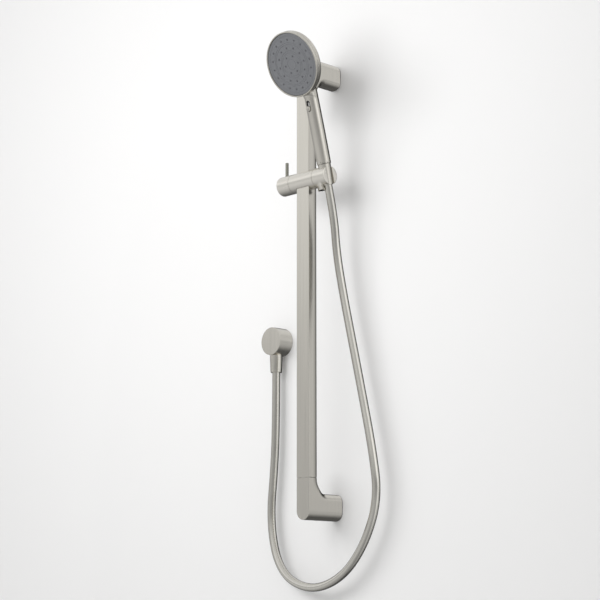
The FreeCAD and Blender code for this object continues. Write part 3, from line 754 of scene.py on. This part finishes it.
def nozzles():
    """Silicone mat with a ridged tip through each hole of the face."""
    tip = [(2.1, 1.0), (2.1, 0.72, 0.2), (1.35, 0.62), (1.15, 0.1, 0.3), (0.55, -0.1, 0.15), (0.45, 0.6), (0, 0.6)]
    vertices, faces = turned([(0, 3.4), (51, 3.4), (51, 4.6), (0, 4.6)], steps=64)
    small, small_faces = turned([(0, 3.5), (2.1, 3.5)] + tip, steps=14)
    for x, y in nozzle_places():
        first = len(vertices)
        vertices += [(a + x, b + y, c) for a, b, c in small]
        faces += [[first + k for k in face] for face in small_faces]
    return finish_piece("nozzles", new_mesh("nozzles", vertices, faces, HEAD), "handset", ["nozzle_mat"])


nozzles()


def thumb_tab():
    """Wedge with grip ridges, sliding in the handle's slot."""
    def field(x, y, z):
        up = z - SELECTOR_AT
        body = slot_field(x, up, -4.7, 4.7, 3.6)
        slope = -y - 12.7 - np.clip((up + 4.7) / 5.1, 0, 1) * 2.4
        ridges = 0.22 * np.cos(up * 2 * math.pi / 1.7) * np.clip(1 - abs(up) / 4.2, 0, 1)
        body = trimmed(body, slope + ridges, 0.8)
        return np.maximum(body, y + 10.3)
    field_piece("thumb_tab", field, (-5, -17, SELECTOR_AT - 6), (5, -9, SELECTOR_AT + 6), 0.28, TAIL, "selector",
                ["selector_tab"])


thumb_tab()

# ---------------------------------------------------------------- wall elbow
ELBOW_R, ELBOW_DEPTH, ELBOW_WALL = 25.0, 30.5, 1.6
COLLAR_R, COLLAR_BORE_R, COLLAR_LENGTH, COLLAR_GAP = 10.3, 8.6, 4.0, 0.25
ELBOW_NUT_R, ELBOW_NUT_LIP_R, NUT_BORE_R = 11.2, 10.2, 7.3
nut_low, nut_high = (corner.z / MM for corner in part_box("hose_nut_lower"))


def elbow_drum():
    """Drum on the wall with a short collar under it, where the hose's nut screws on."""
    vertices, faces = turned([(ELBOW_R - ELBOW_WALL, 0.0), (ELBOW_R, 0.0, 0.3), (ELBOW_R, ELBOW_DEPTH, 0.9),
                              (0, ELBOW_DEPTH), (0, ELBOW_DEPTH - ELBOW_WALL),
                              (ELBOW_R - ELBOW_WALL, ELBOW_DEPTH - ELBOW_WALL)], closed=True, steps=128)
    collar, collar_faces = turned([(COLLAR_BORE_R, 0), (COLLAR_R, 0, 0.3), (COLLAR_R, COLLAR_LENGTH),
                                   (COLLAR_BORE_R, COLLAR_LENGTH)], closed=True, steps=64)
    to_drum = ELBOW.inverted() @ OUTLET @ Matrix.Translation((0, 0, nut_high + COLLAR_GAP))
    first = len(vertices)
    vertices = list(vertices) + [tuple(to_drum @ Vector(v)) for v in collar]
    faces = list(faces) + [[first + k for k in face] for face in collar_faces]
    mesh = new_mesh("elbow_drum", vertices, faces, ELBOW)
    return even_normals(finish_piece("elbow_drum", mesh, "wall_set", ["elbow_cover"]))


elbow_drum()
turned_piece("elbow_nut", [(NUT_BORE_R, nut_low), (ELBOW_NUT_LIP_R, nut_low, 0.6),
                           (ELBOW_NUT_LIP_R, nut_low + 3.4, 0.2), (10.5, nut_low + 3.7, 0.2),
                           (11.1, nut_high - 7), (ELBOW_NUT_R, nut_high, 0.6), (NUT_BORE_R, nut_high)],
             OUTLET, "wall_set", ["hose_nut_lower"], closed=True)


# ---------------------------------------------------------------- hose
HOSE_D = 0.014
STRAIGHT_LEAD = 0.055
lead = tail_point + tail_axis * (NUT_BOTTOM * MM)
HOSE_ROUTE = [
    lead,
    lead - tail_axis * STRAIGHT_LEAD,
    (0.048, -0.045, 0.429),
    (0.0597, -0.039, 0.350),
    (0.0790, -0.037, 0.265),
    (0.0985, -0.035, 0.178),
    (0.1190, -0.035, 0.092),
    (0.1300, -0.033, 0.009),
    (0.097, -0.032, -0.066),
    (0.041, -0.030, -0.120),
    (-0.039, -0.026, -0.139),
    (-0.118, -0.021, -0.108),
    (-0.148, -0.018, -0.020),
    (-0.136, -0.017, 0.090),
    (-0.1335, -0.017, 0.186),
    (-0.1335, -0.017, 0.2465),
]
RING_SPACING = 0.004
HOSE_SIDES = 32


def route_line():
    """Evenly spaced points on the smooth line through the route, from the elbow to the cone nut."""
    data = bpy.data.curves.new("route", "CURVE")
    data.dimensions = "3D"
    data.resolution_u = 48
    spline = data.splines.new("NURBS")
    spline.points.add(len(HOSE_ROUTE) - 1)
    for point, place in zip(spline.points, reversed(HOSE_ROUTE)):
        point.co = (*place, 1)
    spline.order_u = 3
    spline.use_endpoint_u = True
    holder = bpy.data.objects.new("route", data)
    bpy.context.scene.collection.objects.link(holder)
    bpy.context.view_layer.update()
    mesh = bpy.data.meshes.new_from_object(holder)
    fine = np.array([v.co for v in mesh.vertices])
    bpy.data.objects.remove(holder)
    along = np.concatenate([[0], np.cumsum(np.linalg.norm(np.diff(fine, axis=0), axis=1))])
    count = round(along[-1] / RING_SPACING)
    even = np.linspace(0, along[-1], count + 1)
    return np.stack([np.interp(even, along, fine[:, k]) for k in range(3)], axis=1), along[-1]


def hose_rings(line):
    """One ring of points round each point of the line, carried along without twist."""
    ahead = np.gradient(line, axis=0)
    ahead /= np.linalg.norm(ahead, axis=1)[:, None]
    side = np.array([0.0, 1.0, 0.0])
    rings = []
    for point, way in zip(line, ahead):
        side = side - way * (side @ way)
        side /= np.linalg.norm(side)
        other = np.cross(way, side)
        turn = np.linspace(0, 2 * math.pi, HOSE_SIDES, endpoint=False)[:, None]
        rings.append(point + (np.cos(turn) * side + np.sin(turn) * other) * HOSE_D / 2)
    return rings


hose_line, hose_length = route_line()
rings = hose_rings(hose_line)


def hose_run(name, first, last):
    """Closed tube over the rings first to last."""
    vertices = np.concatenate(rings[first:last + 1])
    faces = []
    for row in range(last - first):
        for k in range(HOSE_SIDES):
            n = (k + 1) % HOSE_SIDES
            low, high = row * HOSE_SIDES, (row + 1) * HOSE_SIDES
            faces.append((low + k, low + n, high + n, high + k))
    faces.append(tuple(reversed(range(HOSE_SIDES))))
    end = (last - first) * HOSE_SIDES
    faces.append(tuple(range(end, end + HOSE_SIDES)))
    mesh = bpy.data.meshes.new(name)
    mesh.from_pydata([tuple(v) for v in vertices], [], faces)
    return finish_piece(name, mesh, None, ["hose"])


def ring_at(measure):
    return int(np.argmin(measure))


last_ring = len(rings) - 1
left_most = ring_at(hose_line[:, 0])
right_most = ring_at(-hose_line[:, 0])
to_end = hose_length * (1 - np.arange(last_ring + 1) / last_ring)
HOLDER_RUN, END_RUN = 0.155, 0.035
holder_ring = ring_at(abs(to_end - HOLDER_RUN))
end_ring = ring_at(abs(to_end - END_RUN))


hose_wall_run = hose_run("hose_wall_run", 0, left_most)
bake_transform(hose_wall_run)
hose_loop = hose_run("hose_loop", left_most, right_most)
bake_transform(hose_loop)
hose_rail_run = hose_run("hose_rail_run", right_most, holder_ring)
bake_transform(hose_rail_run)
hose_tilting = hose_run("hose_tilting", holder_ring, end_ring)
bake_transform(hose_tilting)
hose_lifting = hose_run("hose_lifting", end_ring, last_ring)
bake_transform(hose_lifting)


print("hose length %.4f" % hose_length)
